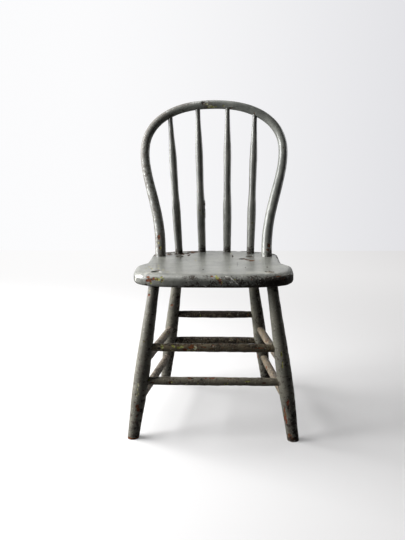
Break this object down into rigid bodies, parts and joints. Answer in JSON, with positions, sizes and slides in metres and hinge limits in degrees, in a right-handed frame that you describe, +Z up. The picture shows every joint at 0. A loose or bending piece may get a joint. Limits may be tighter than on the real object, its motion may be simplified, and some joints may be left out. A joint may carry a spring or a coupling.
{
  "type": "child's hoop-back wooden chair",
  "caption": "Small plank-seat wooden chair with a bent hoop back over turned spindles, splayed turned legs and turned rungs, under chipped grey paint.",
  "frame": {"origin": "on the floor, under the middle of the bounding box", "axes": "+Z up; the sitter faces -Y; +X is to the right when the chair is seen from the front"},
  "size_m": [0.3404, 0.3308, 0.6737],
  "materials": {
    "grey_paint": "old half-gloss grey paint on wood, chipped to yellow, green and red coats and bare wood",
    "worn_paint": "the same coats rubbed through to brown wood",
    "wedge_wood": "dark end grain with traces of grey paint"
  },
  "bodies": {
    "root": {"seat": "grey_paint", "hoop": "grey_paint", "spindle_outer_left": "grey_paint", "spindle_inner_left": "grey_paint", "spindle_inner_right": "grey_paint", "spindle_outer_right": "grey_paint", "leg_front_left": "grey_paint", "leg_front_right": "grey_paint", "leg_back_left": "grey_paint", "leg_back_right": "grey_paint", "rung_front_upper": "worn_paint", "rung_front_lower": "worn_paint", "rung_back_upper": "worn_paint", "rung_back_lower": "worn_paint", "rung_left_upper": "worn_paint", "rung_left_lower": "worn_paint", "rung_right_upper": "worn_paint", "rung_right_lower": "worn_paint", "wedge_front_right": "wedge_wood", "wedge_back_left": "wedge_wood", "wedge_back_right": "wedge_wood"}
  },
  "joints": []
}
